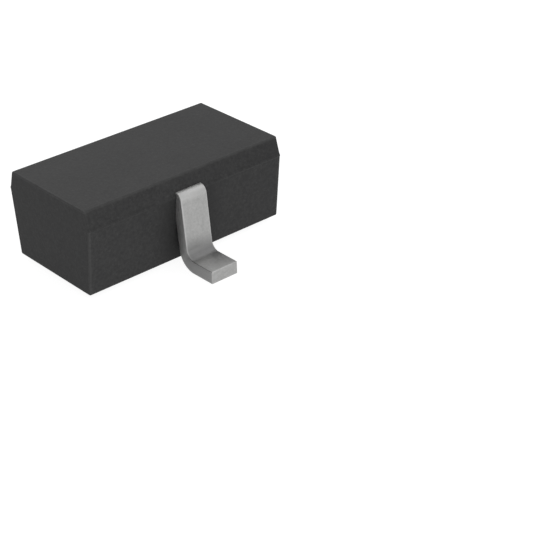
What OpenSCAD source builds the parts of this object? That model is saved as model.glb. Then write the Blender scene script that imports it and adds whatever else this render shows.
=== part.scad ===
// Two diodes with a common cathode in a three-lead surface-mount package.
// Millimetres. The package stands on its feet: the soles lie at Z 0, the body's length runs along X,
// the two anode leads leave towards -Y and the common cathode lead leaves towards +Y.

/* [Body] */
// Length of the moulded body
body_len = 2.9; // [2.6:0.05:3.2]
// Width of the body at its parting line, where it is widest
belly_w = 1.58; // [1.5:0.02:1.7]
// Width of the body's top face
top_w = 1.44; // [1.3:0.02:1.5]
// Width of the body's bottom face
bottom_w = 1.41; // [1.3:0.01:1.5]
// Height of the body from its bottom face to its top face
body_h = 1.1; // [1.08:0.01:1.3]
// Height of the body's upper part, from the parting line to the top face
crown_h = 0.24; // [0.22:0.01:0.3]
// Gap between the body's bottom face and the board
standoff = 0.06; // [0.02:0.01:0.1]

/* [Leads] */
// Width of each lead
lead_w = 0.39; // [0.3:0.01:0.5]
// Thickness of the lead strip
lead_t = 0.15; // [0.12:0.01:0.18]
// Distance between the tips of opposite leads
lead_span = 2.78; // [2.6:0.02:3]
// Distance between the centres of the two anode leads
lead_pitch = 1.6; // [1.4:0.05:1.9]
// Drop of the leads' middle plane below the parting line
lead_drop = 0.015; // [0:0.005:0.03]
// How far the top of a shank's outer face stands out beyond the body's widest line
shank_proud = 0.085; // [0.06:0.005:0.12]
// Lean of each shank away from the body, in degrees
shank_lean = 6; // [2:1:10]
// Inner radius of the bend at the root, where a lead leaves the body
root_bend_r = 0.02; // [0.02:0.01:0.05]
// Inner radius of the bend above the foot
foot_bend_r = 0.1; // [0.05:0.01:0.12]

/* [Posts and island] */
// Width of an anode lead's bonding post
post_w = 0.56; // [0.5:0.02:0.6]
// Length of a bonding post, into the body
post_len = 0.26; // [0.2:0.02:0.3]
// Distance from the body's widest line to a bonding post
post_inset = 0.17; // [0.14:0.01:0.2]
// Length of the cathode lead's island, along the body
island_len = 1.9; // [1.7:0.05:2.1]
// Width of the island, across the body
island_w = 0.56; // [0.5:0.02:0.6]
// Drop of the island below the plane of the leads
island_drop = 0.3; // [0.24:0.02:0.34]
// Gap between the island and the bonding posts, seen from above
island_gap = 0.14; // [0.1:0.01:0.18]
// Slope of the ramp between the root and the island, in degrees
ramp_slope = 60; // [55:5:70]

/* [Dies] */
// Side of each square die
die_side = 0.36; // [0.25:0.01:0.42]
// Thickness of each die
die_t = 0.15; // [0.1:0.01:0.18]
// Distance between the centres of the two dies
die_pitch = 1.1; // [0.8:0.05:1.2]
// Thickness of the glue under each die
attach_t = 0.02; // [0.01:0.005:0.03]
// Width of glue that shows round each die
attach_rim = 0.03; // [0.01:0.005:0.04]

/* [Bond wires] */
// Diameter of the bond wires
wire_d = 0.05; // [0.03:0.005:0.06]
// Diameter of the ball that holds a wire to its die
ball_d = 0.12; // [0.1:0.01:0.14]
// Height of the squashed ball
ball_h = 0.06; // [0.04:0.005:0.08]
// Radius of the bend at the top of a wire's loop
loop_r = 0.09; // [0.06:0.01:0.1]
// Slope of a wire's straight run from the loop down to the post, in degrees
run_slope = 4; // [2:1:6]
// Diameter of the stitch that holds a wire to its post
stitch_d = 0.12; // [0.1:0.01:0.14]
// Thickness of the stitch
stitch_t = 0.02; // [0.015:0.005:0.03]

/* [Hidden] */

$fn = 48;
// Straight steps that make up each bend of a lead
bend_steps = 10;
// Room under the end of a wire's run, inside the stitch
run_clear = 0.002;

// Heights above the board
body_bottom_z = standoff;
parting_z = standoff + body_h - crown_h;
body_top_z = standoff + body_h;
lead_mid_z = parting_z - lead_drop;
lead_top_z = lead_mid_z + lead_t / 2;
lead_low_z = lead_mid_z - lead_t / 2;
island_top_z = lead_top_z - island_drop;
attach_top_z = island_top_z + attach_t;
die_top_z = attach_top_z + die_t;

// Side view of a lead, with Y outwards: centres of its two bends.
// The line of a shank's outer face, carried up, passes through the point shank_y, lead_mid_z.
shank_y = belly_w / 2 + shank_proud;
root_outer_r = root_bend_r + lead_t;
foot_outer_r = foot_bend_r + lead_t;
root_bend_z = lead_low_z - root_bend_r;
root_bend_y = shank_y - (root_outer_r - (lead_mid_z - root_bend_z) * sin(shank_lean)) / cos(shank_lean);
foot_bend_z = foot_outer_r;
bend_drop = root_bend_z - foot_bend_z;
foot_bend_y = root_bend_y + (root_outer_r + foot_bend_r + bend_drop * sin(shank_lean)) / cos(shank_lean);
tip_y = lead_span / 2;

// Posts, island and ramp, seen from above
post_outer_y = belly_w / 2 - post_inset;
post_inner_y = post_outer_y - post_len;
post_mid_y = (post_outer_y + post_inner_y) / 2;
island_near_y = island_gap - post_inner_y;
island_far_y = island_near_y + island_w;
island_mid_y = (island_near_y + island_far_y) / 2;
// Along each bend of the ramp, one face of the strip turns this much later than the other
ramp_mitre = lead_t * tan(ramp_slope / 2);
ramp_foot_y = island_far_y;
ramp_head_y = ramp_foot_y + island_drop / tan(ramp_slope);

// One wire seen from the side, as distance from its ball and height: it rises from the die,
// bends over at the loop and runs straight down to its stitch on the post
wire_r = wire_d / 2;
bond_x = die_pitch / 2;
stitch_x = lead_pitch / 2;
wire_reach = norm([stitch_x - bond_x, island_mid_y + post_mid_y]);
wire_heading = atan2(-post_mid_y - island_mid_y, stitch_x - bond_x);
run_end_z = lead_top_z + wire_r + run_clear;
run_len = (wire_reach - loop_r - loop_r * sin(run_slope)) / cos(run_slope);
loop_mid_z = run_end_z + run_len * sin(run_slope) - loop_r * cos(run_slope);

// Points of a round bend, between two directions seen from its centre
function arc(centre, radius, from, to) = [
    for (i = [0 : bend_steps])
        let (turn = from + (to - from) * i / bend_steps)
            centre + radius * [cos(turn), sin(turn)]
];

// Outer part of a lead in side view, on its upper and outer faces from the root to the tip
function lead_front() = concat(
    arc([root_bend_y, root_bend_z], root_outer_r, 90, shank_lean),
    arc([foot_bend_y, foot_bend_z], foot_bend_r, 180 + shank_lean, 270),
    [[tip_y, lead_t]]
);

// The same on its lower and inner faces, from the tip back to the root
function lead_back() = concat(
    [[tip_y, 0]],
    arc([foot_bend_y, foot_bend_z], foot_outer_r, 270, 180 + shank_lean),
    arc([root_bend_y, root_bend_z], root_bend_r, shank_lean, 90)
);

// Turns a side view drawn in X and Y so that it stands in Y and Z, and gives it a width along X
module across(width) {
    rotate([90, 0, 90])
        linear_extrude(height = width, center = true)
            children();
}

// Anode lead on the side of its diode, -1 or 1 along X: a wide post inside the body, narrowed to the lead
module anode_lead(side) {
    color("silver")
        translate([side * lead_pitch / 2, 0, 0])
            mirror([0, 1, 0]) {
                across(lead_w)
                    polygon(concat(
                        [[post_mid_y, lead_top_z]],
                        lead_front(),
                        lead_back(),
                        [[post_mid_y, lead_low_z]]
                    ));
                translate([-post_w / 2, post_inner_y, lead_low_z])
                    cube([post_w, post_len, lead_t]);
            }
}

// Cathode lead: the outer part, the ramp that steps down from its root, and the island, all one strip
module cathode_lead() {
    island_low_z = island_top_z - lead_t;
    color("silver") {
        across(lead_w)
            polygon(concat(
                [[island_mid_y, island_top_z], [ramp_foot_y, island_top_z], [ramp_head_y, lead_top_z]],
                lead_front(),
                lead_back(),
                [[ramp_head_y + ramp_mitre, lead_low_z], [ramp_foot_y + ramp_mitre, island_low_z]],
                [[island_mid_y, island_low_z]]
            ));
        translate([-island_len / 2, island_near_y, island_low_z])
            cube([island_len, island_w, lead_t]);
    }
}

// Glue between a die and the island
module die_attach(side) {
    attach_side = die_side + 2 * attach_rim;
    color("gray")
        translate([side * bond_x - attach_side / 2, island_mid_y - attach_side / 2, island_top_z])
            cube([attach_side, attach_side, attach_t]);
}

// Silicon die, glued on with its cathode face down
module diode_die(side) {
    color("slategray")
        translate([side * bond_x - die_side / 2, island_mid_y - die_side / 2, attach_top_z])
            cube([die_side, die_side, die_t]);
}

// Squashed ball at the start of a wire: a round ball cut flat above and below
module wire_ball() {
    intersection() {
        translate([0, 0, ball_h / 2])
            sphere(d = ball_d);
        translate([-ball_d, -ball_d, 0])
            cube([2 * ball_d, 2 * ball_d, ball_h]);
    }
}

// Bend at the top of a wire's loop and the straight run after it, round the bend's centre
module wire_loop() {
    rotate([0, run_slope - 90, 0]) {
        rotate([90, 0, 0])
            rotate_extrude(angle = 90 + run_slope)
                translate([loop_r, 0])
                    circle(r = wire_r);
        translate([loop_r, 0, -run_len])
            cylinder(r = wire_r, h = run_len);
    }
}

// Bond wire from a die to its post, drawn along X from the ball and turned to its heading
module bond_wire(side) {
    riser_z = die_top_z + ball_h / 2;
    color("gold")
        translate([side * bond_x, island_mid_y, 0])
            rotate([0, 0, side > 0 ? wire_heading : 180 - wire_heading]) {
                translate([0, 0, die_top_z])
                    wire_ball();
                translate([0, 0, riser_z])
                    cylinder(r = wire_r, h = loop_mid_z - riser_z);
                translate([loop_r, 0, loop_mid_z])
                    wire_loop();
                translate([wire_reach, 0, lead_top_z])
                    cylinder(d = stitch_d, h = stitch_t);
            }
}

// Body before anything is set in it: a six-sided bar, widest at the parting line
module body_blank() {
    across(body_len)
        polygon([
            [-bottom_w / 2, body_bottom_z],
            [bottom_w / 2, body_bottom_z],
            [belly_w / 2, parting_z],
            [top_w / 2, body_top_z],
            [-top_w / 2, body_top_z],
            [-belly_w / 2, parting_z]
        ]);
}

// Moulded body: the compound fills all the room that the leads, dies, glue and wires leave
module moulded_body() {
    color("dimgray")
        difference() {
            body_blank();
            cathode_lead();
            for (side = [-1, 1]) {
                anode_lead(side);
                die_attach(side);
                diode_die(side);
                bond_wire(side);
            }
        }
}

moulded_body();
anode_lead(-1);  // anode_lead_1
anode_lead(1);  // anode_lead_2
cathode_lead();
die_attach(-1);  // die_attach_1
die_attach(1);  // die_attach_2
diode_die(-1);  // diode_die_1
diode_die(1);  // diode_die_2
bond_wire(-1);  // bond_wire_1
bond_wire(1);  // bond_wire_2
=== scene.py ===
"""Looks of a rectifier diode array: a moulded body on three gull-wing leads, set on a pale studio floor.

Shapes are worked out in millimetres, as on a drawing, and turned into metres once they are finished.
The soles of the leads lie on z 0, the body runs along x and the cathode lead points along y.
"""

from __future__ import annotations

import logging
import math
from collections.abc import Iterable, Mapping, Sequence
from dataclasses import dataclass
from enum import Enum

import bmesh
import bpy
from bpy.types import Material, Mesh, Node, NodeSocket, NodeTree, Object
from mathutils import Matrix, Vector

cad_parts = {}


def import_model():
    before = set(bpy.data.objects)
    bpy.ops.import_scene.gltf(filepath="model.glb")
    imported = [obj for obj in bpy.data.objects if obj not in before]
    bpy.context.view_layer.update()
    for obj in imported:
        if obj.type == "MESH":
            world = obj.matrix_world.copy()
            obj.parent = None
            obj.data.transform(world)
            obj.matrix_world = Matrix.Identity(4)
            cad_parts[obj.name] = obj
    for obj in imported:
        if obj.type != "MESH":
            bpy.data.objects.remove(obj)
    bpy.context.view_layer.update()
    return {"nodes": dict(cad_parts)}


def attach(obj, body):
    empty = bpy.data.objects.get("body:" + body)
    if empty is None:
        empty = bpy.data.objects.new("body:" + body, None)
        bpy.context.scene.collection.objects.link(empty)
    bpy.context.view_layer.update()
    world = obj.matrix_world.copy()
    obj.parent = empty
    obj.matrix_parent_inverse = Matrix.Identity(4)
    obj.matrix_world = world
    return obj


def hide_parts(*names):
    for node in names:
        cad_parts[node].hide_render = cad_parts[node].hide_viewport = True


LOG = logging.getLogger("diode_array")
BODY = "root"  # the frame's one body, on which every piece rides
MM = 0.001  # a millimetre in metres
SHARP = math.radians(40.0)  # edges that turn by more than this stay sharp
FLAT_WEIGHT = 60  # how far the large faces set the shading round them
Colour = tuple[float, float, float]
Span = tuple[float, float]
Settings = Mapping[str, object]
Feeds = Mapping[str | int, object]


class Signal:
    """A node's output. Python operators on it add Math nodes, or Vector Math nodes where it is a vector."""

    def __init__(self, socket: NodeSocket) -> None:
        """Keeps the output socket."""
        self.socket = socket

    def _meet(self, other: Signal | float, operation: str, swapped: bool = False) -> Signal:
        """Adds one node that works on this signal and another.

        Args:
            other: The other signal, or a plain number.
            operation: The node's operation, in Blender's word.
            swapped: True if the other one comes first.

        Returns:
            The node's result.
        """
        sides = (other, self) if swapped else (self, other)
        vectors = any(isinstance(side, Signal) and side.socket.type == "VECTOR" for side in sides)
        tree = self.socket.id_data
        node = tree.nodes.new("ShaderNodeVectorMath" if vectors else "ShaderNodeMath")
        node.operation = operation
        for slot, side in zip(node.inputs, sides):
            if isinstance(side, Signal):
                tree.links.new(side.socket, slot)
            else:
                slot.default_value = (side, side, side) if vectors else side
        return Signal(node.outputs[0])

    def __add__(self, other: Signal | float) -> Signal:
        """Sum."""
        return self._meet(other, "ADD")

    def __radd__(self, other: float) -> Signal:
        """Sum with a number on the left."""
        return self._meet(other, "ADD", swapped=True)

    def __sub__(self, other: Signal | float) -> Signal:
        """Difference."""
        return self._meet(other, "SUBTRACT")

    def __rsub__(self, other: float) -> Signal:
        """Difference from a number on the left."""
        return self._meet(other, "SUBTRACT", swapped=True)

    def __mul__(self, other: Signal | float) -> Signal:
        """Product, part by part for a vector."""
        return self._meet(other, "MULTIPLY")

    def __rmul__(self, other: float) -> Signal:
        """Product with a number on the left."""
        return self._meet(other, "MULTIPLY", swapped=True)

    def __truediv__(self, other: Signal | float) -> Signal:
        """Quotient."""
        return self._meet(other, "DIVIDE")

    def __rtruediv__(self, other: float) -> Signal:
        """Quotient of a number on the left."""
        return self._meet(other, "DIVIDE", swapped=True)

    def __pow__(self, other: float) -> Signal:
        """Power."""
        return self._meet(other, "POWER")

    def __rpow__(self, other: float) -> Signal:
        """Power of a number on the left."""
        return self._meet(other, "POWER", swapped=True)

    def __gt__(self, other: Signal | float) -> Signal:
        """1 where this is the greater, else 0."""
        return self._meet(other, "GREATER_THAN")

    def __lt__(self, other: Signal | float) -> Signal:
        """1 where this is the smaller, else 0."""
        return self._meet(other, "LESS_THAN")

    def __abs__(self) -> Signal:
        """Size without its sign."""
        return self._meet(0.0, "ABSOLUTE")

    def floor(self) -> Signal:
        """Whole part."""
        return self._meet(0.0, "FLOOR")

    def least(self, other: Signal | float) -> Signal:
        """The smaller of two."""
        return self._meet(other, "MINIMUM")

    def most(self, other: Signal | float) -> Signal:
        """The greater of two."""
        return self._meet(other, "MAXIMUM")

    def clamped(self) -> Signal:
        """Held between 0 and 1."""
        return self.most(0.0).least(1.0)

    def near(self, reach: float) -> Signal:
        """1 where this is 0 or less, falling to 0 where it is reach."""
        return (1.0 - self / reach).clamped()

    def swing(self, amount: float) -> Signal:
        """What noise about 0.5 adds and takes away, where its whole range comes to amount."""
        return (self - 0.5) * amount

    def between(self, low: float, high: float) -> Signal:
        """Runs from low to high while this runs from 0 to 1."""
        return self * (high - low) + low

    def blended(self, other: Signal, share: float) -> Signal:
        """This with a share of another in its place."""
        return self * (1.0 - share) + other * share


Triple = tuple[Signal, Signal, Signal]


class Bench:
    """A node tree, and the one way in which any node is added to it."""

    def __init__(self, tree: NodeTree) -> None:
        """Keeps the tree."""
        self.tree = tree

    def place(self, kind: str, settings: Settings | None = None, feeds: Feeds | None = None) -> Node:
        """Adds a node.

        Args:
            kind: The node's type, in Blender's word.
            settings: Its own settings, which are set first.
            feeds: A plain value or a signal for each input socket, by the socket's name or number.

        Returns:
            The node.
        """
        node = self.tree.nodes.new(kind)
        for name, value in (settings or {}).items():
            setattr(node, name, value)
        for name, value in (feeds or {}).items():
            if isinstance(value, Signal):
                self.tree.links.new(value.socket, node.inputs[name])
            else:
                node.inputs[name].default_value = value
        return node

    def signal(
        self, kind: str, settings: Settings | None = None, feeds: Feeds | None = None, output: str | int = 0
    ) -> Signal:
        """Adds a node, as place does, and gives one of its outputs as a signal."""
        return Signal(self.place(kind, settings, feeds).outputs[output])

    def split(self, vector: Signal) -> Triple:
        """The three parts of a vector."""
        x, y, z = self.place("ShaderNodeSeparateXYZ", feeds={0: vector}).outputs
        return Signal(x), Signal(y), Signal(z)

    def joined(self, x: Signal | float, y: Signal | float, z: Signal | float) -> Signal:
        """A vector of three parts."""
        return self.signal("ShaderNodeCombineXYZ", feeds={0: x, 1: y, 2: z})


@dataclass(frozen=True)
class Noise:
    """Cloudy noise about 0.5, by the size of a blotch, the layers of finer detail and their strength."""

    size: float
    detail: float = 2.0
    rough: float = 0.5


@dataclass(frozen=True)
class Flecks:
    """Round flecks, by their mean distance and by their radius as a share of it."""

    spacing: float
    radius: float


class Paint(Bench):
    """The node tree of one material, round its Principled shader."""

    def __init__(self, name: str) -> None:
        """Makes the material.

        Args:
            name: The material's name.
        """
        self.material = bpy.data.materials.new(name)
        self.material.use_nodes = True
        super().__init__(self.material.node_tree)
        self.tree.nodes.clear()
        self.shader = self.place("ShaderNodeBsdfPrincipled")
        self.end = self.place("ShaderNodeOutputMaterial", feeds={"Surface": Signal(self.shader.outputs[0])})

    def point_mm(self) -> Signal:
        """Where a point lies in the package's own frame, in millimetres."""
        return self.signal("ShaderNodeTexCoord", output="Object") * (1.0 / MM)

    def noise(self, where: Signal, kind: Noise) -> Signal:
        """Noise of a kind, read at those coordinates."""
        feeds = {"Vector": where, "Scale": 1.0 / kind.size, "Detail": kind.detail, "Roughness": kind.rough}
        return self.signal("ShaderNodeTexNoise", feeds=feeds)

    def flecks(self, where: Signal, kind: Flecks) -> Signal:
        """Flecks of a kind, 1 at their middle and 0 outside them."""
        cells = self.signal("ShaderNodeTexVoronoi", feeds={"Vector": where, "Scale": 1.0 / kind.spacing})
        return cells.near(kind.radius)

    def mixed(self, low: Signal | Colour, high: Signal | Colour, share: Signal) -> Signal:
        """The colour from low to high, inputs 6 and 7 of the Mix node, as the share runs from 0 to 1."""
        ends = {slot: c if isinstance(c, Signal) else (*c, 1.0) for slot, c in ((6, low), (7, high))}
        return self.signal("ShaderNodeMix", {"data_type": "RGBA"}, {0: share, **ends}, output=2)

    def feed(self, colour: Signal, roughness: Signal, height: Signal, relief: float) -> None:
        """Puts what changes over the surface on the shader.

        Args:
            colour: Base colour.
            roughness: Roughness.
            height: Relief, from 0 to 1.
            relief: Its depth in millimetres.
        """
        feeds = {"Strength": 1.0, "Distance": relief * MM, "Height": height}
        bump = self.signal("ShaderNodeBump", feeds=feeds)
        for name, signal in (("Base Color", colour), ("Roughness", roughness.clamped()), ("Normal", bump)):
            self.tree.links.new(signal.socket, self.shader.inputs[name])

    def even(self, **values: float) -> None:
        """Sets numbers that are the same all over, by the shader's socket names with _ for a space."""
        for name, value in values.items():
            self.shader.inputs[name.replace("_", " ")].default_value = value


@dataclass(frozen=True)
class Arc:
    """A round in a side view or a section, with its centre and points as outwards and up."""

    centre: Vector
    radius: float

    def point(self, turn: float) -> Vector:
        """The point of it in that direction from its centre."""
        return self.centre + Vector((math.cos(turn), math.sin(turn))) * self.radius


@dataclass(frozen=True)
class Drawing:
    """Sizes of the package in millimetres, and the places that follow from them.

    A lead leaves the body lead_drop below the parting line, and the outer face of its shank stands
    shank_proud off the belly at that height. Bend radii are those of the hollow side.
    """

    body_len: float = 2.9
    belly_w: float = 1.58
    top_w: float = 1.44
    bottom_w: float = 1.41
    body_h: float = 1.1
    crown_h: float = 0.24
    standoff: float = 0.06
    lead_w: float = 0.39
    lead_t: float = 0.15
    lead_span: float = 2.78
    lead_pitch: float = 1.6
    lead_drop: float = 0.015
    shank_proud: float = 0.085
    shank_lean: float = math.radians(6.0)
    root_bend_r: float = 0.02
    root_corner_r: float = 0.1
    foot_bend_r: float = 0.1
    post_w: float = 0.56
    post_len: float = 0.26
    post_inset: float = 0.17
    island_len: float = 1.9
    island_w: float = 0.56
    island_drop: float = 0.3
    island_gap: float = 0.14
    ramp_slope: float = math.radians(60.0)
    die_side: float = 0.36
    die_t: float = 0.15
    die_pitch: float = 1.1
    attach_t: float = 0.02

    @property
    def parting_z(self) -> float:
        """Parting line of the mould."""
        return self.standoff + self.body_h - self.crown_h

    @property
    def top_z(self) -> float:
        """Top of the body."""
        return self.standoff + self.body_h

    @property
    def lead_mid_z(self) -> float:
        """Middle of a lead's thickness where it leaves the body."""
        return self.parting_z - self.lead_drop

    @property
    def island_mid_z(self) -> float:
        """Middle of the island's thickness."""
        return self.lead_mid_z - self.island_drop

    @property
    def die_top_z(self) -> float:
        """Top of a die."""
        return self.island_mid_z + self.lead_t / 2 + self.attach_t + self.die_t

    @property
    def post_outer(self) -> float:
        """Outer end of a post, from the package's middle plane."""
        return self.belly_w / 2 - self.post_inset

    @property
    def post_inner(self) -> float:
        """Inner end of a post, from the package's middle plane."""
        return self.post_outer - self.post_len

    @property
    def island_near(self) -> float:
        """Edge of the island towards the anode posts."""
        return self.island_gap - self.post_inner

    @property
    def root_centre(self) -> Vector:
        """Centre of the bend at a lead's root.

        Returns:
            The centre, outwards and up.
        """
        up = self.lead_mid_z - self.lead_t / 2 - self.root_bend_r
        outer = self.root_bend_r + self.lead_t
        shank = self.belly_w / 2 + self.shank_proud
        lean = self.shank_lean
        return Vector((shank - (outer - (self.lead_mid_z - up) * math.sin(lean)) / math.cos(lean), up))

    @property
    def root_corner_centre(self) -> Vector:
        """Centre of the outer corner of the bend at a lead's root.

        Returns:
            The centre, outwards and up.
        """
        half_turn = (math.pi / 2 - self.shank_lean) / 2
        tighter = self.root_bend_r + self.lead_t - self.root_corner_r
        return Arc(self.root_centre, tighter / math.cos(half_turn)).point(self.shank_lean + half_turn)

    @property
    def foot_centre(self) -> Vector:
        """Centre of the bend over a lead's foot.

        Returns:
            The centre, outwards and up.
        """
        root = self.root_centre
        up = self.foot_bend_r + self.lead_t
        drop = root.y - up
        reach = self.root_bend_r + self.lead_t + self.foot_bend_r
        lean = self.shank_lean
        return Vector((root.x + (reach + drop * math.sin(lean)) / math.cos(lean), up))


class Zone(Enum):
    """Which width the stamped blank has at a station."""

    STRIP = 0
    POST = 1
    ISLAND = 2


@dataclass(frozen=True)
class Station:
    """One cross-section of a lead: its middle and the way through its thickness, outwards and up."""

    middle: Vector
    face: Vector
    zone: Zone = Zone.STRIP


class BlankTree:
    """Geometry nodes that sweep a stamped strip with rounded edges along the stations of a lead.

    The object that carries them is a chain of points with three attributes. face is the way through the
    thickness, zone says which of the three widths holds, and from_tip is the distance left to the tip.
    """

    WIDTHS = ("Strip width", "Post width", "Island width")
    WELD = 0.00002

    def __init__(self) -> None:
        """Builds the tree with its named inputs."""
        self.tree = bpy.data.node_groups.new("stamped_blank", "GeometryNodeTree")
        self.bench = Bench(self.tree)
        face = self.tree.interface
        face.new_socket("Geometry", in_out="INPUT", socket_type="NodeSocketGeometry")
        for name in (*self.WIDTHS, "Thickness", "Edge radius"):
            face.new_socket(name, in_out="INPUT", socket_type="NodeSocketFloat")
        face.new_socket("Corner steps", in_out="INPUT", socket_type="NodeSocketInt")
        face.new_socket("Finish", in_out="INPUT", socket_type="NodeSocketMaterial")
        face.new_socket("Geometry", in_out="OUTPUT", socket_type="NodeSocketGeometry")
        self.given = self.bench.place("NodeGroupInput")
        self._build()

    def _input(self, name: str) -> Signal:
        """One of the tree's inputs."""
        return Signal(self.given.outputs[name])

    def _read(self, name: str, kind: str) -> Signal:
        """What the points hold under a name."""
        return self.bench.signal("GeometryNodeInputNamedAttribute", {"data_type": kind}, {"Name": name})

    def _stored(self, geometry: Signal, name: str, value: Signal) -> Signal:
        """The geometry with a vector kept on its points under a name."""
        feeds = {"Geometry": geometry, "Name": name, "Value": value}
        return self.bench.signal("GeometryNodeStoreNamedAttribute", {"data_type": "FLOAT_VECTOR"}, feeds)

    def _outline(self) -> Signal:
        """The strip's outline, as a ring whose points know their corner and their turn on it.

        Returns:
            The closed curve.
        """
        steps = self._input("Corner steps")
        feeds = {"Resolution": (steps + 1.0) * 4.0, "Radius": 1.0}
        ring = self.bench.signal("GeometryNodeCurvePrimitiveCircle", {"mode": "RADIUS"}, feeds)
        index = self.bench.signal("GeometryNodeInputIndex")
        quarter = (index / (steps + 1.0)).floor()
        turn = (quarter + (index - quarter * (steps + 1.0)) / steps) * (math.pi / 2)
        middle = quarter * (math.pi / 2) + math.pi / 4
        for name, angle, reach in (("turn", turn, 1.0), ("corner", middle, math.sqrt(2.0))):
            across, through = (
                self.bench.signal("ShaderNodeMath", {"operation": word}, {0: angle}) * reach
                for word in ("COSINE", "SINE")
            )
            ring = self._stored(ring, name, self.bench.joined(across, through, 0.0))
        return ring

    def _half_width(self) -> Signal:
        """Half the strip's width where a point lies, by its zone.

        Returns:
            The half width.
        """
        feeds = {"Index": self._read("zone", "INT")}
        switch = self.bench.place("GeometryNodeIndexSwitch", {"data_type": "FLOAT"}, feeds)
        switch.index_switch_items.new()
        for slot, name in enumerate(self.WIDTHS, 1):
            self.tree.links.new(self._input(name).socket, switch.inputs[slot])
        return Signal(switch.outputs[0]) / 2.0

    def _build(self) -> None:
        """Adds the sweep, the rounding of the edges and the tip, and the finish."""
        bench = self.bench
        centred = self._stored(self._input("Geometry"), "middle", bench.signal("GeometryNodeInputPosition"))
        path = bench.signal("GeometryNodeMeshToCurve", feeds={"Mesh": centred})
        feeds = {"Curve": path, "Profile Curve": self._outline(), "Fill Caps": True}
        swept = bench.signal("GeometryNodeCurveToMesh", feeds=feeds)

        radius = self._input("Edge radius")
        from_tip = self._read("from_tip", "FLOAT")
        sunk = (radius - from_tip).most(0.0)
        left = (radius * radius - sunk * sunk).most(0.0) ** 0.5
        corner_across, corner_through, _ = bench.split(self._read("corner", "FLOAT_VECTOR"))
        turn_across, turn_through, _ = bench.split(self._read("turn", "FLOAT_VECTOR"))
        across = corner_across * (self._half_width() - radius) + turn_across * left
        through = corner_through * (self._input("Thickness") / 2.0 - radius) + turn_through * left
        face = self._read("face", "FLOAT_VECTOR")
        spot = self._read("middle", "FLOAT_VECTOR") + bench.joined(across, 0.0, 0.0) + face * through

        named = self._stored(swept, "blank", bench.joined(across, from_tip, through))
        shaped = bench.signal("GeometryNodeSetPosition", feeds={"Geometry": named, "Position": spot})
        for name in ("middle", "corner", "turn", "face", "zone", "from_tip"):
            shaped = bench.signal("GeometryNodeRemoveAttribute", feeds={"Geometry": shaped, "Name": name})
        for kind, inputs in (
            ("GeometryNodeMergeByDistance", {"Distance": self.WELD}),
            ("GeometryNodeSetShadeSmooth", {"Shade Smooth": True}),
            ("GeometryNodeRealizeInstances", {}),
            ("GeometryNodeSetMaterial", {"Material": self._input("Finish")}),
        ):
            shaped = bench.signal(kind, feeds={"Geometry": shaped, **inputs})
        bench.place("NodeGroupOutput", feeds={"Geometry": shaped})

    def put_on(self, piece: Object, values: Mapping[str, object]) -> None:
        """Gives a piece the tree as a modifier.

        Args:
            piece: The chain of stations.
            values: A value for each named input.
        """
        modifier = piece.modifiers.new("blank", "NODES")
        modifier.node_group = self.tree
        for socket in self.tree.interface.items_tree:
            if socket.in_out == "INPUT" and socket.name in values:
                modifier[socket.identifier] = values[socket.name]


def new_piece(name: str, mesh: Mesh) -> Object:
    """Puts a mesh in the scene.

    Args:
        name: Name for the object and its mesh.
        mesh: The mesh.

    Returns:
        The object.
    """
    mesh.name = name
    piece = bpy.data.objects.new(name, mesh)
    bpy.context.scene.collection.objects.link(piece)
    return piece


def settle(piece: Object) -> None:
    """Turns what a piece's modifiers make into its plain mesh, and removes them.

    Args:
        piece: The piece.
    """
    bpy.context.view_layer.update()
    made = piece.evaluated_get(bpy.context.evaluated_depsgraph_get())
    mesh = bpy.data.meshes.new_from_object(made)
    piece.modifiers.clear()
    piece.data = mesh
    mesh.name = piece.name


def close_up(mesh: Mesh, gap: float, turned: bool = True) -> None:
    """Merges a mesh's points where they meet, and drops faces that have no area.

    Args:
        mesh: The mesh.
        gap: Points within this distance of each other become one.
        turned: True to turn all faces outwards too.
    """
    bm = bmesh.new()
    bm.from_mesh(mesh)
    bmesh.ops.remove_doubles(bm, verts=bm.verts, dist=gap)
    bmesh.ops.dissolve_degenerate(bm, edges=bm.edges, dist=gap)
    if turned:
        bmesh.ops.recalc_face_normals(bm, faces=bm.faces)
    bm.to_mesh(mesh)
    bm.free()


def even_shading(piece: Object) -> None:
    """Shades a piece so that its flats look flat and only its rounded edges turn.

    Args:
        piece: The piece.
    """
    for face in piece.data.polygons:
        face.use_smooth = True
    piece.data.set_sharp_from_angle(angle=SHARP)
    weighted = piece.modifiers.new("even_shading", "WEIGHTED_NORMAL")
    weighted.weight = FLAT_WEIGHT
    weighted.keep_sharp = True


def mount(piece: Object, node: str) -> None:
    """Hands a finished piece to the frame in place of a CAD node.

    Args:
        piece: The piece, in metres.
        node: The CAD node that it stands for.
    """
    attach(piece, BODY)
    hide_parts(node)
    LOG.info("%s stands for %s: %d faces", piece.name, node, len(piece.data.polygons))


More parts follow.
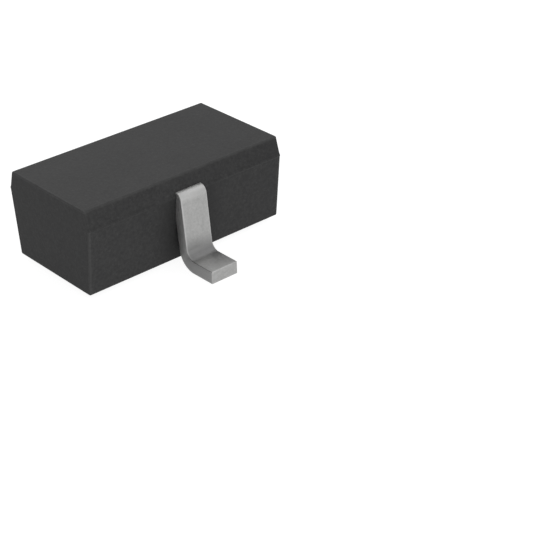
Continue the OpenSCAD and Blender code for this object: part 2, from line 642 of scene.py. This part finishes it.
@dataclass(frozen=True)
class MouldCompound:
    """Dull black epoxy compound, with its fine mineral filler showing in the skin.

    Lengths are in millimetres. The shares from filler_share to the painted shade of the end faces, and the
    swings, add up to how much of the filler's colour shows; the share along x is painted light, lighter
    towards +x. The edge weights say how far each kind of edge is lightened, by real wear and a painted
    highlight, and a darker colour is painted shade on the flanks beside the leads.
    """

    drawing: Drawing
    skin: Colour = (0.0245, 0.0245, 0.025)
    filler: Colour = (0.051, 0.051, 0.051)
    rub_and_highlight: Colour = (0.1, 0.1, 0.1)
    lead_shade: Colour = (0.008, 0.008, 0.0082)
    cloud: Noise = Noise(0.45, detail=3.0)
    grain: Noise = Noise(0.042, detail=4.0, rough=0.75)
    beads: Flecks = Flecks(0.045, 0.35)
    filler_share: float = 0.35
    cloud_swing: float = 0.35
    grain_swing: float = 2.3
    bead_share: float = 0.35
    light_slope_share: float = 0.13
    end_shade_share: float = 0.2
    end_shade_reach: float = 0.00725
    lead_shade_share: float = 0.5
    lead_shade_reach: float = 0.35
    edge_patches: Noise = Noise(0.12)
    edge_patch_range: Span = (0.4, 1.0)
    rub_and_highlight_share: float = 0.65
    edge_reach: float = 0.03
    end_wear_and_highlight: float = 1.1
    base_wear_and_highlight: float = 0.5
    crown_spared: float = 0.6
    roughness: float = 0.66
    grain_roughens: float = 0.25
    cloud_roughens: float = 0.1
    rub_polishes: float = 0.08
    bead_height: float = 0.2
    relief: float = 0.0018
    specular: float = 0.25

    def _edges(self, spot: Triple) -> Signal:
        """The body's edges, from how near a point is to two faces at once.

        Args:
            spot: Where the point lies.

        Returns:
            1 on an edge and 0 on the flats.
        """
        drawing, (x, y, z) = self.drawing, spot
        belly, top, bottom = drawing.belly_w / 2, drawing.top_w / 2, drawing.bottom_w / 2
        flank_slope = (belly - bottom) / (drawing.parting_z - drawing.standoff)
        crown_slope = (belly - top) / drawing.crown_h
        flank = (z - drawing.standoff) * flank_slope + bottom
        crown = belly - (z - drawing.parting_z) * crown_slope
        gaps = (
            drawing.body_len / 2 - abs(x),
            flank.least(crown) - abs(y),
            drawing.top_z - z,
            z - drawing.standoff,
        )
        end, side, above, below = (gap.near(self.edge_reach) for gap in gaps)
        upright = side * end * (1.0 - (z > drawing.parting_z) * self.crown_spared)
        ends = (end * above + upright) * self.end_wear_and_highlight
        return (ends + side * above + below * (end + side) * self.base_wear_and_highlight).clamped()

    def _lead_shade(self, spot: Triple) -> Signal:
        """Where shade is painted on the flanks beside the leads.

        Args:
            spot: Where the point lies.

        Returns:
            1 at a lead, fading to 0 away from it.
        """
        drawing, (x, y, z) = self.drawing, spot
        cathode, anode = abs(x), abs(abs(x) - drawing.lead_pitch / 2)
        off = anode + (cathode - anode) * (y > 0.0) - drawing.lead_w / 2
        flank = (abs(y) > drawing.bottom_w / 2 - self.edge_reach) * (z < drawing.parting_z)
        return off.near(self.lead_shade_reach) * flank

    def material(self) -> Material:
        """The finish as a material.

        Returns:
            The material.
        """
        paint = Paint("mould_compound")
        where = paint.point_mm()
        spot = paint.split(where)
        cloud, grain = paint.noise(where, self.cloud), paint.noise(where, self.grain)
        beads = paint.flecks(where, self.beads)
        # Edge mask for real wear and a painted highlight on the edges.
        worn = self._edges(spot) * paint.noise(where, self.edge_patches).between(*self.edge_patch_range).clamped()
        share = cloud.swing(self.cloud_swing) + grain.swing(self.grain_swing) + beads * self.bead_share

        # Painted light: the skin is lighter towards +x and darker towards -x, and painted shade darkens the
        # two end faces.
        half_len = self.drawing.body_len / 2
        slope, ends = spot[0] / half_len, (half_len - abs(spot[0])).near(self.end_shade_reach)
        share = share + slope * self.light_slope_share - ends * self.end_shade_share + self.filler_share
        dull = paint.mixed(self.skin, self.filler, share.clamped())
        # Painted shade: the flanks darken towards the leads.
        lead_shaded = paint.mixed(dull, self.lead_shade, self._lead_shade(spot) * self.lead_shade_share)
        # Real wear and a painted highlight lighten the edges.
        colour = paint.mixed(lead_shaded, self.rub_and_highlight, worn * self.rub_and_highlight_share)
        uneven = grain.swing(self.grain_roughens) + cloud.swing(self.cloud_roughens)
        roughness = uneven - worn * self.rub_polishes + self.roughness
        paint.feed(colour, roughness, grain.blended(beads, self.bead_height), self.relief)
        paint.even(Specular_IOR_Level=self.specular)
        return paint.material


@dataclass(frozen=True)
class MattTin:
    """Matt tin plating on the leads outside the body, over the bare copper of the frame inside it.

    A lead is plated for plated_len from its tip. Lengths are in millimetres, but the reach of the painted
    shade in the hollow of the lower bend is in lengths of that bend, from its middle towards the tip and
    towards the shank. The darker colour is painted shade in that hollow and on the foot's sides, and the
    bright colour is painted highlight on the root's bend, the edges and the shank's sides; the foot's top
    is lighter towards the tip.
    """

    drawing: Drawing
    plated_len: float
    plate: Colour = (0.535, 0.535, 0.53)
    shade: Colour = (0.4, 0.4, 0.395)
    painted_shade: Colour = (0.25, 0.25, 0.25)
    bright: Colour = (0.72, 0.72, 0.715)
    copper: Colour = (0.62, 0.33, 0.2)
    grain: Noise = Noise(0.03, detail=4.0, rough=0.7)
    rolling: Noise = Noise(0.25, detail=3.0)
    rolling_ratio: float = 6.0
    nodules: Flecks = Flecks(0.025, 0.6)
    plate_share: float = 0.5
    grain_swing: float = 2.2
    rolling_swing: float = 0.8
    edge_reach: float = 0.022
    side_reach: float = 0.006
    root_reach: float = 0.13
    bend_shade_reach: Span = (0.9, 1.08)
    bend_shade_share: float = 1.1
    side_shade_range: Span = (0.65, 1.0)
    edge_highlight_share: float = 0.6
    foot_edge_highlight_fade: float = 0.7
    shank_side_light_share: float = 0.4
    root_highlight_share: float = 0.66
    tip_lighter_share: float = 0.18
    roughness: float = 0.52
    grain_roughens: float = 0.2
    rolling_roughens: float = 0.12
    edge_polishes: float = 0.06
    nodule_height: float = 0.4
    relief: float = 0.0012

    def _edges_and_painted_light(self, blank: Triple) -> Triple:
        """Where the strip's stamped edges lie, and where shade and highlight are painted on it.

        Args:
            blank: Place across the strip, along it from the tip, and through it.

        Returns:
            The stamped edges, the share of painted shade and the share of painted highlight, each from 0 to
            1.
        """
        drawing, (across, along, through) = self.drawing, blank
        from_side, half_t = drawing.lead_w / 2 - abs(across), drawing.lead_t / 2
        side, face = from_side.near(self.edge_reach), (half_t - abs(through)).near(self.edge_reach)
        edges = (side + face + along.near(self.edge_reach) - 1.0).clamped()
        outer = (half_t - through).near(self.edge_reach)

        # Painted shade: the hollow of the lower bend and the foot's lower sides are darker.
        foot = drawing.lead_span / 2 - drawing.foot_centre.x
        bend = (drawing.foot_bend_r + half_t) * (math.pi / 2 - drawing.shank_lean)
        heel = foot + bend / 2
        tipwards, upwards = self.bend_shade_reach
        bend_shade = (heel - along).near(bend * tipwards) * (along - heel).near(bend * upwards)
        cut, lower = from_side.near(self.side_reach), (along - heel).near(bend)
        low_cut = cut * lower
        side_shade = low_cut * (along / heel).clamped().between(*self.side_shade_range)
        painted_shade = (bend_shade * outer * self.bend_shade_share).most(side_shade).clamped()

        # Painted highlight on the root's bend, the edges and the shank's sides; the foot's top is lighter
        # towards the tip.
        root_highlight = (self.plated_len - along).near(self.root_reach) * outer
        tip_lighter = (along - foot / 2).near(foot / 2) * outer
        edge_highlight = edges * (1.0 - lower * self.foot_edge_highlight_fade) * self.edge_highlight_share
        edge_highlight = edge_highlight.most((cut - low_cut) * self.shank_side_light_share)
        bright = edge_highlight.most(root_highlight * self.root_highlight_share).most(tip_lighter * self.tip_lighter_share)
        return edges, painted_shade, bright

    def material(self) -> Material:
        """The finish as a material.

        Returns:
            The material, which reads the strip's own coordinates.
        """
        paint = Paint("matt_tin")
        settings = {"attribute_type": "GEOMETRY", "attribute_name": "blank"}
        blank = paint.split(paint.signal("ShaderNodeAttribute", settings, output="Vector"))
        across, along, through = blank
        where = paint.point_mm()
        grain, nodules = paint.noise(where, self.grain), paint.flecks(where, self.nodules)
        ratio = self.rolling_ratio
        rolled = paint.noise(paint.joined(across * ratio, along, through * ratio), self.rolling)
        edges, painted_shade, bright = self._edges_and_painted_light(blank)
        share = rolled.swing(self.rolling_swing) + grain.swing(self.grain_swing) + self.plate_share
        dull = paint.mixed(self.shade, self.plate, share.clamped())
        # Painted shade darkens the hollow of the lower bend and the foot's sides.
        worn = paint.mixed(dull, self.painted_shade, painted_shade)
        # Painted highlight lightens the root's bend, the edges and the shank's sides.
        plated = paint.mixed(worn, self.bright, bright)
        colour = paint.mixed(plated, self.copper, along > self.plated_len)
        uneven = grain.swing(self.grain_roughens) + rolled.swing(self.rolling_roughens)
        roughness = uneven - edges * self.edge_polishes + self.roughness
        paint.feed(colour, roughness, grain.blended(nodules, self.nodule_height), self.relief)
        paint.even(Metallic=1.0)
        return paint.material


@dataclass(frozen=True)
class DieGlue:
    """Silver-filled glue under a die."""

    resin: Colour = (0.3, 0.29, 0.27)
    flake: Colour = (0.62, 0.61, 0.58)
    lumps: Noise = Noise(0.04, detail=3.0)
    flakes: Flecks = Flecks(0.012, 0.7)
    flake_share: float = 0.6
    roughness: Span = (0.35, 0.65)
    relief: float = 0.002
    metallic: float = 0.6

    def material(self) -> Material:
        """The finish as a material.

        Returns:
            The material.
        """
        paint = Paint("die_glue")
        where = paint.point_mm()
        lumps = paint.noise(where, self.lumps)
        share = lumps.blended(paint.flecks(where, self.flakes), self.flake_share)
        colour = paint.mixed(self.resin, self.flake, share.clamped())
        paint.feed(colour, lumps.between(*self.roughness), lumps, self.relief)
        paint.even(Metallic=self.metallic)
        return paint.material


@dataclass(frozen=True)
class Silicon:
    """Sawn silicon with a metal pad on its top face."""

    drawing: Drawing
    crystal: Colour = (0.09, 0.1, 0.12)
    sawn: Colour = (0.15, 0.16, 0.175)
    pad: Colour = (0.78, 0.78, 0.77)
    pad_share: float = 0.74
    pad_t: float = 0.002
    saw: Noise = Noise(0.006)
    saw_ratio: float = 5.0
    roughness: Span = (0.15, 0.4)
    pad_roughens: float = 0.15
    pad_height: float = 0.5
    relief: float = 0.001
    metallic: float = 0.35

    def material(self) -> Material:
        """The finish as a material.

        Returns:
            The material.
        """
        drawing, paint = self.drawing, Paint("silicon")
        x, y, z = paint.split(paint.point_mm())
        off_x = abs(abs(x) - drawing.die_pitch / 2)
        off_y = abs(y - (drawing.island_near + drawing.island_w / 2))
        inside = off_x.most(off_y) < drawing.die_side / 2 * self.pad_share
        padded = inside * (z > drawing.die_top_z - self.pad_t)
        saw = paint.noise(paint.joined(x / self.saw_ratio, y / self.saw_ratio, z), self.saw)
        colour = paint.mixed(paint.mixed(self.crystal, self.sawn, saw), self.pad, padded)
        roughness = saw.between(*self.roughness) + padded * self.pad_roughens
        paint.feed(colour, roughness, saw + padded * self.pad_height, self.relief)
        paint.even(Metallic=self.metallic)
        return paint.material


@dataclass(frozen=True)
class GoldWire:
    """Drawn gold wire."""

    gold: Colour = (0.94, 0.67, 0.25)
    worn: Colour = (0.78, 0.52, 0.18)
    drawn: Noise = Noise(0.02, detail=3.0)
    roughness: Span = (0.2, 0.4)
    relief: float = 0.0006

    def material(self) -> Material:
        """The finish as a material.

        Returns:
            The material.
        """
        paint = Paint("gold_wire")
        drawn = paint.noise(paint.point_mm(), self.drawn)
        colour = paint.mixed(self.worn, self.gold, drawn)
        paint.feed(colour, drawn.between(*self.roughness), drawn, self.relief)
        paint.even(Metallic=1.0)
        return paint.material


class LeadForm(Enum):
    """What a lead carries at its inner end."""

    ANODE = "a wide post for a bond wire"
    CATHODE = "the island for both dies, below a ramp"


def strip_steps(line: Sequence[Station]) -> list[float]:
    """Length of strip from each station to the next."""
    return [(a.middle - b.middle).length for a, b in zip(line, line[1:])]


@dataclass(frozen=True)
class StampedLead:
    """One gull-wing lead with what it carries inside the body, stamped and bent from strip.

    foot_tin is the thickness of the tin on the foot, which fills the hollow above it to heel_fillet_r. The
    plating reaches plated_in into the body.
    """

    node: str
    form: LeadForm
    centre_x: float
    drawing: Drawing
    edge_radius: float = 0.009
    foot_tin: float = 0.015
    heel_fillet_r: float = 0.12
    corner_steps: int = 3
    bend_steps: int = 14
    tip_steps: int = 3
    shoulder: float = 0.004
    plated_in: float = 0.05
    weld: float = 0.00001

    @property
    def side(self) -> float:
        """Which way along y the lead points."""
        return 1.0 if self.form is LeadForm.CATHODE else -1.0

    def _inner(self) -> list[Station]:
        """Stations of the part inside the body, up to where the root's bend begins.

        Returns:
            The stations, outwards.
        """
        drawing, up = self.drawing, Vector((0.0, 1.0))
        high, low = drawing.lead_mid_z, drawing.island_mid_z
        if self.form is LeadForm.ANODE:
            marks = (
                (drawing.post_inner, high, up, Zone.POST),
                (drawing.post_outer, high, up, Zone.POST),
                (drawing.post_outer + self.shoulder, high, up, Zone.STRIP),
            )
        else:
            slope = drawing.ramp_slope
            far = drawing.island_near + drawing.island_w
            foot = far + drawing.lead_t * math.tan(slope / 2) / 2
            head = foot + drawing.island_drop / math.tan(slope)
            mitred = Vector((-math.tan(slope / 2), 1.0))
            marks = (
                (drawing.island_near, low, up, Zone.ISLAND),
                (far, low, up, Zone.ISLAND),
                (far + self.shoulder, low, up, Zone.STRIP),
                (foot, low, mitred, Zone.STRIP),
                (head, high, mitred, Zone.STRIP),
            )
        return [Station(Vector((out, height)), face, zone) for out, height, face, zone in marks]

    def _bend(self, outer: Arc, inner: Arc, start: float, end: float) -> list[Station]:
        """Stations round one bend.

        Args:
            outer: Arc of the strip's outer face.
            inner: Arc of its inner face.
            start: Direction of the first station from the arcs' centres.
            end: Direction of the last one.

        Returns:
            The stations.
        """
        found = []
        for step in range(self.bend_steps + 1):
            turn = start + (end - start) * step / self.bend_steps
            far, near = outer.point(turn), inner.point(turn)
            found.append(Station((far + near) / 2, (far - near) / self.drawing.lead_t))
        return found

    def stations(self) -> list[Station]:
        """All stations of the lead.

        Returns:
            The stations, from the inner end to the tip.
        """
        drawing, half = self.drawing, self.drawing.lead_t / 2
        quarter, lean = math.pi / 2, drawing.shank_lean
        corner = Arc(drawing.root_corner_centre, drawing.root_corner_r)
        root = self._bend(corner, Arc(drawing.root_centre, drawing.root_bend_r), quarter, lean)

        # The tin raises the upper arc of the lower bend along the shank, and its wider round moves it out.
        thick = Vector((0.0, 1.0 + self.foot_tin / drawing.lead_t))
        wider = self.heel_fillet_r - drawing.foot_bend_r
        raised = Vector((-math.tan(lean), 1.0)) * self.foot_tin
        moved = Vector(((1.0 - math.sin(lean)) / math.cos(lean), 1.0)) * wider
        upper = Arc(drawing.foot_centre + raised + moved, self.heel_fillet_r)
        lower = Arc(drawing.foot_centre, drawing.foot_bend_r + drawing.lead_t)
        foot = self._bend(upper, lower, math.pi + lean, 3 * quarter)

        tip = []
        for step in range(self.tip_steps + 1):
            back = self.edge_radius * (1.0 - math.sin(quarter * step / self.tip_steps))
            tip.append(Station(Vector((drawing.lead_span / 2 - back, half * thick.y)), thick))
        return [*self._inner(), *root, *foot, *tip]

    def plated_len(self) -> float:
        """Length of strip from the tip to where the plating ends, a little way inside the body."""
        line = self.stations()[len(self._inner()):]
        return sum(strip_steps(line)) + line[0].middle.x - (self.drawing.belly_w / 2 - self.plated_in)

    def build(self, tree: BlankTree, finish: Material) -> Object:
        """Makes the lead as one closed mesh.

        Args:
            tree: The geometry nodes that sweep the strip.
            finish: The lead's material.

        Returns:
            The piece, still in millimetres.
        """
        line = self.stations()
        steps = strip_steps(line)
        mesh = bpy.data.meshes.new(f"{self.node}_chain")
        points = [(self.centre_x, self.side * s.middle.x, s.middle.y) for s in line]
        mesh.from_pydata(points, [(n, n + 1) for n in range(len(steps))], [])
        left = mesh.attributes.new("from_tip", "FLOAT", "POINT")
        zones = mesh.attributes.new("zone", "INT", "POINT")
        faces = mesh.attributes.new("face", "FLOAT_VECTOR", "POINT")
        for n, station in enumerate(line):
            left.data[n].value = sum(steps[n:])
            zones.data[n].value = station.zone.value
            faces.data[n].vector = (0.0, self.side * station.face.x, station.face.y)
        piece = new_piece(f"tinned_{self.node}", mesh)
        drawing = self.drawing
        widths = (drawing.lead_w, drawing.post_w, drawing.island_len)
        values = dict(zip(BlankTree.WIDTHS, widths))
        values.update({"Thickness": drawing.lead_t, "Edge radius": self.edge_radius})
        values.update({"Corner steps": self.corner_steps, "Finish": finish})
        tree.put_on(piece, values)
        settle(piece)
        close_up(piece.data, self.weld)
        return piece


@dataclass(frozen=True)
class Corner:
    """A corner of the body's section, with the outward normals of the sides before and after it."""

    tip: Vector
    before: Vector
    after: Vector

    def inside(self, depth: float) -> Vector:
        """The point that lies that deep below both sides."""
        return self.tip - (self.before + self.after) * (depth / (1.0 + self.before.dot(self.after)))


@dataclass(frozen=True)
class MouldedBody:
    """The body: a six-sided bar with rounded edges and the mould's fine flash along its flanks."""

    drawing: Drawing
    crown_radius: float = 0.028
    base_radius: float = 0.03
    end_radius: float = 0.019
    corner_steps: int = 6
    end_steps: int = 4
    flash_proud: float = 0.009
    flash_reach: float = 0.03
    flash_rise: float = 0.01
    flash_steps: int = 5
    weld: float = 0.00001
    room_weld: float = 0.00002

    def _round(self, corner: Corner, radius: float, inset: float) -> list[Vector]:
        """Points round one corner of the section.

        Args:
            corner: The corner.
            radius: Radius of its round.
            inset: How far inwards the whole section is drawn.

        Returns:
            The points, in the order of the sides.
        """
        arc = Arc(corner.inside(radius), radius - inset)
        start, sweep = math.atan2(corner.before.y, corner.before.x), corner.before.angle(corner.after)
        turns = (start + sweep * step / self.corner_steps for step in range(self.corner_steps + 1))
        return [arc.point(turn) for turn in turns]

    def _flash(self, corner: Corner, inset: float, share: float) -> list[Vector]:
        """Points across the parting line, where the flash stands a little proud.

        Args:
            corner: Where the flank meets the crown.
            inset: How far inwards the whole section is drawn.
            share: Share of the flash's height that is left.

        Returns:
            The points, upwards.
        """
        middle = corner.inside(inset)
        outward = (corner.before + corner.after).normalized()
        points = []
        for step in range(-self.flash_steps, self.flash_steps + 1):
            part = step / self.flash_steps
            up = part * self.flash_reach + self.flash_rise
            side = corner.before if up < 0.0 else corner.after
            rise = Vector((-side.y, side.x)) * up
            swell = outward * (self.flash_proud * share * math.cos(math.pi / 2 * part) ** 2)
            points.append(middle + rise + swell)
        return points

    def _section(self, inset: float, share: float) -> list[Vector]:
        """The closed section, as points across and up.

        Args:
            inset: How far inwards it is drawn.
            share: Share of the flash's height that is left.

        Returns:
            The points, anticlockwise.
        """
        drawing = self.drawing
        base = Vector((drawing.bottom_w / 2, drawing.standoff))
        belly = Vector((drawing.belly_w / 2, drawing.parting_z))
        crown = Vector((drawing.top_w / 2, drawing.top_z))
        down, up = Vector((0.0, -1.0)), Vector((0.0, 1.0))
        flank, slope = (Vector((s.y, -s.x)).normalized() for s in (belly - base, crown - belly))
        right = [
            *self._round(Corner(base, down, flank), self.base_radius, inset),
            *self._flash(Corner(belly, flank, slope), inset, share),
            *self._round(Corner(crown, slope, up), self.crown_radius, inset),
        ]
        return right + [Vector((-p.x, p.y)) for p in reversed(right)]

    def uncut(self) -> Object:
        """Makes the body without room for anything.

        Returns:
            The piece, in millimetres.
        """
        rings = []
        for end, steps in ((-1.0, range(self.end_steps, -1, -1)), (1.0, range(self.end_steps + 1))):
            for step in steps:
                turn = math.pi / 2 * step / self.end_steps
                x = end * (self.drawing.body_len / 2 - self.end_radius * (1.0 - math.sin(turn)))
                section = self._section(self.end_radius * (1.0 - math.cos(turn)), math.cos(turn))
                rings.append([(x, p.x, p.y) for p in section])
        around = len(rings[0])
        faces = [tuple(range(around)), tuple(range((len(rings) - 1) * around, len(rings) * around))]
        for n in range(len(rings) - 1):
            for k in range(around):
                a, b = n * around + k, n * around + (k + 1) % around
                faces.append((a, b, b + around, a + around))
        mesh = bpy.data.meshes.new("mould_shell")
        mesh.from_pydata([p for ring in rings for p in ring], [], faces)
        close_up(mesh, self.weld)
        return new_piece("mould_shell", mesh)

    def build(self, cutters: Iterable[Object], finish: Material) -> Object:
        """Makes the body with room for all that is sealed in it.

        Args:
            cutters: Pieces in millimetres whose room is left free.
            finish: The body's material.

        Returns:
            The piece, in millimetres.
        """
        piece = self.uncut()
        for cutter in cutters:
            room = piece.modifiers.new("room", "BOOLEAN")
            room.operation = "DIFFERENCE"
            room.solver = "EXACT"
            room.object = cutter
        settle(piece)
        for name in ("blank", "custom_normal"):
            if name in piece.data.attributes:
                piece.data.attributes.remove(piece.data.attributes[name])
        close_up(piece.data, self.room_weld, turned=False)
        piece.data.materials.clear()
        piece.data.materials.append(finish)
        for face in piece.data.polygons:
            face.material_index = 0
        return piece


@dataclass(frozen=True)
class SealedParts:
    """The dies, their glue and the bond wires, which keep their CAD shapes inside the body.

    Their rooms reach seat_depth into what carries them. Points within seat_reach of a height lie on it.
    """

    nodes: Mapping[str, Object]
    drawing: Drawing
    kinds: tuple[str, ...] = ("die_attach", "diode_die", "bond_wire")
    sides: tuple[int, int] = (1, 2)
    seat_depth: float = 0.004
    seat_reach: float = 0.0001
    weld: float = 0.0001

    def names(self) -> list[str]:
        """Names of all these nodes."""
        return [f"{kind}_{side}" for kind in self.kinds for side in self.sides]

    def dress(self) -> None:
        """Gives each node its finish."""
        materials = (DieGlue().material(), Silicon(self.drawing).material(), GoldWire().material())
        finishes = dict(zip(self.kinds, materials))
        for name in self.names():
            kind, _, _ = name.rpartition("_")
            mesh = self.nodes[name].data
            mesh.materials.clear()
            mesh.materials.append(finishes[kind])
            LOG.info("%s keeps its CAD shape", name)

    def _seat(self, mesh: Mesh) -> None:
        """Sinks the faces on which a part sits a little into what carries it, so that their rooms join.

        Args:
            mesh: The part's mesh, in millimetres.
        """
        lowest = min(vertex.co.z for vertex in mesh.vertices)
        post_top = self.drawing.lead_mid_z + self.drawing.lead_t / 2
        for vertex in mesh.vertices:
            over_post = vertex.co.y < -self.drawing.post_inner
            on_post = over_post and abs(vertex.co.z - post_top) < self.seat_reach
            if on_post or vertex.co.z - lowest < self.seat_reach:
                vertex.co.z -= self.seat_depth

    def cutters(self) -> list[Object]:
        """Copies the nodes, to cut their room in the body.

        Returns:
            The closed copies, in millimetres.
        """
        copies = []
        for name in self.names():
            mesh = self.nodes[name].data.copy()
            mesh.transform(Matrix.Scale(1.0 / MM, 4))
            close_up(mesh, self.weld)
            self._seat(mesh)
            copies.append(new_piece(f"room_{name}", mesh))
        return copies


def heading(azimuth: float, elevation: float) -> Vector:
    """The way to a place that lies at these angles in degrees, as seen from the package."""
    turn, rise = math.radians(azimuth), math.radians(elevation)
    return Vector((math.sin(turn) * math.cos(rise), -math.cos(turn) * math.cos(rise), math.sin(rise)))


@dataclass(frozen=True)
class Viewpoint:
    """The camera, where the photograph was taken from, with its angles in degrees."""

    place_mm: tuple[float, float, float] = (9.7341, 13.2227, 8.8874)
    azimuth: float = 138.353
    elevation: float = 30.022
    roll: float = -1.076
    lens_mm: float = 98.353
    sensor_mm: float = 36.0
    clip: Span = (0.0002, 2.0)

    def build(self) -> None:
        """Makes the camera and hands it to the scene."""
        back, roll = heading(self.azimuth, self.elevation), math.radians(self.roll)
        level = Vector((0.0, 0.0, 1.0)).cross(back).normalized()
        upright = back.cross(level)
        right = level * math.cos(roll) + upright * math.sin(roll)
        up = upright * math.cos(roll) - level * math.sin(roll)
        lens = bpy.data.cameras.new("viewpoint")
        lens.lens = self.lens_mm
        lens.sensor_width = self.sensor_mm
        lens.clip_start, lens.clip_end = self.clip
        camera = bpy.data.objects.new("viewpoint", lens)
        bpy.context.scene.collection.objects.link(camera)
        axes = Matrix((right, up, back)).transposed().to_4x4()
        camera.matrix_world = Matrix.Translation(Vector(self.place_mm) * MM) @ axes
        bpy.context.scene.camera = camera


@dataclass(frozen=True)
class Window:
    """A broad soft light at angles in degrees, which fades out round its middle by the power focus."""

    azimuth: float
    elevation: float
    strength: float
    focus: float


@dataclass(frozen=True)
class Studio:
    """A pale floor under soft light, with a white surround. Its sizes are in millimetres.

    floor_light is what the floor sends up to the package, and floor_white how bright it looks itself.
    """

    floor_reach: float = 600.0
    floor_gap: float = 0.001
    floor_colour: Colour = (0.25, 0.25, 0.25)
    floor_light: float = 0.67
    floor_white: float = 0.92
    cloud: Noise = Noise(9.0)
    cloud_shade: float = 0.985
    roughness: Span = (0.8, 0.9)
    relief: float = 0.001
    specular: float = 0.1
    surround: float = 0.26
    backdrop: float = 1.0
    windows: tuple[Window, ...] = (
        Window(336.0, 0.0, 1.5, 2.0),
        Window(176.0, 0.0, 0.95, 2.0),
        Window(259.0, 54.0, 0.9, 6.0),
    )

    def _finish(self) -> Material:
        """The floor's finish, which is clear from below.

        Returns:
            The material.
        """
        paint = Paint("pale_floor")
        cloud = paint.noise(paint.point_mm(), self.cloud)
        darker = tuple(part * self.cloud_shade for part in self.floor_colour)
        colour = paint.mixed(darker, self.floor_colour, cloud)
        paint.feed(colour, cloud.between(*self.roughness), cloud, self.relief)
        paint.even(Specular_IOR_Level=self.specular, Emission_Strength=1.0)
        seen = paint.signal("ShaderNodeLightPath", output="Is Camera Ray")
        glow = paint.mixed((self.floor_light,) * 3, (self.floor_white,) * 3, seen)
        paint.tree.links.new(glow.socket, paint.shader.inputs["Emission Color"])
        clear = paint.signal("ShaderNodeBsdfTransparent")
        behind = paint.signal("ShaderNodeNewGeometry", output="Backfacing")
        feeds = {0: behind, 1: Signal(paint.shader.outputs[0]), 2: clear}
        shown = paint.signal("ShaderNodeMixShader", feeds=feeds)
        paint.tree.links.new(shown.socket, paint.end.inputs["Surface"])
        return paint.material

    def _floor(self) -> None:
        """Lays the floor just below the soles."""
        reach, low = self.floor_reach * MM, -self.floor_gap * MM
        mesh = bpy.data.meshes.new("pale_floor")
        signs = ((-1, -1), (1, -1), (1, 1), (-1, 1))
        mesh.from_pydata([(x * reach, y * reach, low) for x, y in signs], [], [(0, 1, 2, 3)])
        mesh.materials.append(self._finish())
        new_piece("pale_floor", mesh)

    def _surround(self) -> None:
        """Lights the scene softly from all round and more from the windows, before a plain backdrop."""
        world = bpy.data.worlds.new("surround")
        world.use_nodes = True
        bpy.context.scene.world = world
        bench = Bench(world.node_tree)
        bench.tree.nodes.clear()
        x, y, z = bench.split(bench.signal("ShaderNodeTexCoord", output="Generated"))
        light: Signal | float = self.surround
        for window in self.windows:
            aim = heading(window.azimuth, window.elevation)
            facing = (x * aim.x + y * aim.y + z * aim.z).most(0.0)
            light = facing ** window.focus * window.strength + light
        seen = bench.signal("ShaderNodeLightPath", output="Is Camera Ray")
        shown = light + (self.backdrop - light) * seen
        tent = bench.signal("ShaderNodeBackground", feeds={"Color": bench.joined(shown, shown, shown)})
        bench.place("ShaderNodeOutputWorld", feeds={"Surface": tent})

    def build(self) -> None:
        """Sets up the floor and the surround."""
        self._floor()
        self._surround()
        bpy.context.scene.view_settings.view_transform = "Standard"


def main() -> None:
    """Builds the sub-assemblies in order and hands them to the frame."""
    logging.basicConfig(level=logging.INFO, format="%(message)s")
    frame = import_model()
    Viewpoint().build()
    drawing = Drawing()

    half_pitch = drawing.lead_pitch / 2
    leads = (
        StampedLead("anode_lead_1", LeadForm.ANODE, -half_pitch, drawing),
        StampedLead("anode_lead_2", LeadForm.ANODE, half_pitch, drawing),
        StampedLead("cathode_lead", LeadForm.CATHODE, 0.0, drawing),
    )
    tree = BlankTree()
    tin = MattTin(drawing, leads[0].plated_len()).material()
    strips = {lead.node: lead.build(tree, tin) for lead in leads}

    sealed = SealedParts(frame["nodes"], drawing)
    sealed.dress()
    rooms = sealed.cutters()
    shell = MouldedBody(drawing).build([*strips.values(), *rooms], MouldCompound(drawing).material())
    for room in rooms:
        bpy.data.objects.remove(room)

    for piece in (shell, *strips.values()):
        piece.data.transform(Matrix.Scale(MM, 4))
        even_shading(piece)
    mount(shell, "moulded_body")
    for node, strip in strips.items():
        mount(strip, node)

    Studio().build()


if __name__ == "__main__":
    main()
